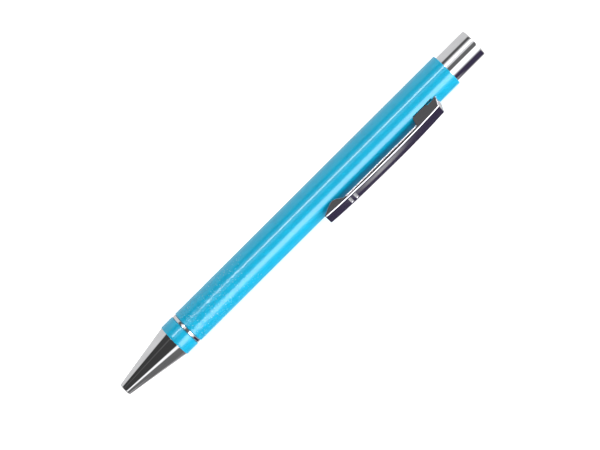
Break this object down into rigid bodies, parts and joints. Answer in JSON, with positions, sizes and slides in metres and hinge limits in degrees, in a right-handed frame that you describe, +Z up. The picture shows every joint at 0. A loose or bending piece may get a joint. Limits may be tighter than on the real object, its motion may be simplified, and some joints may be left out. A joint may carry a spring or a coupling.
{
  "type": "ballpoint pen",
  "caption": "Click ballpoint pen with a metal barrel, sprung channel clip, chrome tapered nose and a stippled grip; push button advances the refill.",
  "frame": {"origin": "bottom centre of the whole pen's box, on the table that the pen lies on", "axes": "+X along the pen's axis from nose to button, +Z up from the table, and the clip on the -Y side, turned down until it touches the table"},
  "size_m": [0.1368, 0.0138, 0.0104],
  "materials": {
    "lacquer": "gloss pearl lacquer, etched and stippled over the grip",
    "chrome": "bright chrome plate",
    "clip_chrome": "bright chrome plate on pressed sheet",
    "brass": "as turned",
    "white_plastic": "moulded acetal",
    "black_plastic": "moulded acetal",
    "refill_steel": "drawn tube",
    "refill_brass": "turned",
    "nickel_silver": "turned",
    "hard_metal_ball": "ground",
    "plug_plastic": "moulded",
    "ink": "thick liquid",
    "follower_grease": "clear grease",
    "spring_steel": "drawn wire"
  },
  "bodies": {
    "barrel_unit": {"barrel": "lacquer", "thread_insert": "brass", "mechanism_housing": "brass", "cam_sleeve": "white_plastic"},
    "clip": {"clip": "clip_chrome"},
    "plunger": {"plunger_cap": "chrome", "plunger_core": "white_plastic"},
    "refill": {"refill_tube": "refill_steel", "refill_nosepiece": "refill_brass", "refill_point": "nickel_silver", "refill_ball": "hard_metal_ball", "refill_plug": "plug_plastic", "ink": "ink", "ink_follower": "follower_grease"},
    "rotor": {"rotor_cam": "black_plastic"},
    "trim_ring": {"trim_ring": "chrome"},
    "nose_section": {"nose_cone": "chrome", "nose_coupler": "brass", "front_collar": "lacquer", "return_spring": "spring_steel"}
  },
  "joints": [
    {"name": "plunger_press", "type": "slide", "parent": "barrel_unit", "child": "plunger", "axis": [-1, 0, 0], "range_m": [0, 0.006], "stiffness_N_per_m": 500, "springref_m": -0.004},
    {"name": "refill_advance", "type": "slide", "parent": "barrel_unit", "child": "refill", "axis": [-1, 0, 0], "range_m": [0, 0.006], "deforming": ["return_spring"]},
    {"name": "rotor_turn", "type": "hinge", "parent": "refill", "child": "rotor", "pos_m": [0.03265, 0.00169, 0.0052], "axis": [1, 0, 0], "range_deg": [0, 45]},
    {"name": "clip_flex", "type": "hinge", "parent": "barrel_unit", "child": "clip", "pos_m": [0.05005, -0.00319, 0.0034], "axis": [0, -0.3464, 0.9381], "range_deg": [0, 3], "stiffness_Nm_per_rad": 4},
    {"name": "nose_travel", "type": "slide", "parent": "barrel_unit", "child": "trim_ring", "axis": [-1, 0, 0], "range_m": [0, 0.005]},
    {"name": "nose_unscrew", "type": "hinge", "parent": "trim_ring", "child": "nose_section", "pos_m": [-0.0435, 0.00169, 0.0052], "axis": [-1, 0, 0], "range_deg": [0, 2400]}
  ],
  "couplings": [
    {"joint": "refill_advance", "follows": "plunger_press", "ratio": 1},
    {"joint": "rotor_turn", "follows": "plunger_press", "rad_per_m": 130.9},
    {"joint": "nose_unscrew", "follows": "nose_travel", "rad_per_m": 8377.6}
  ]
}
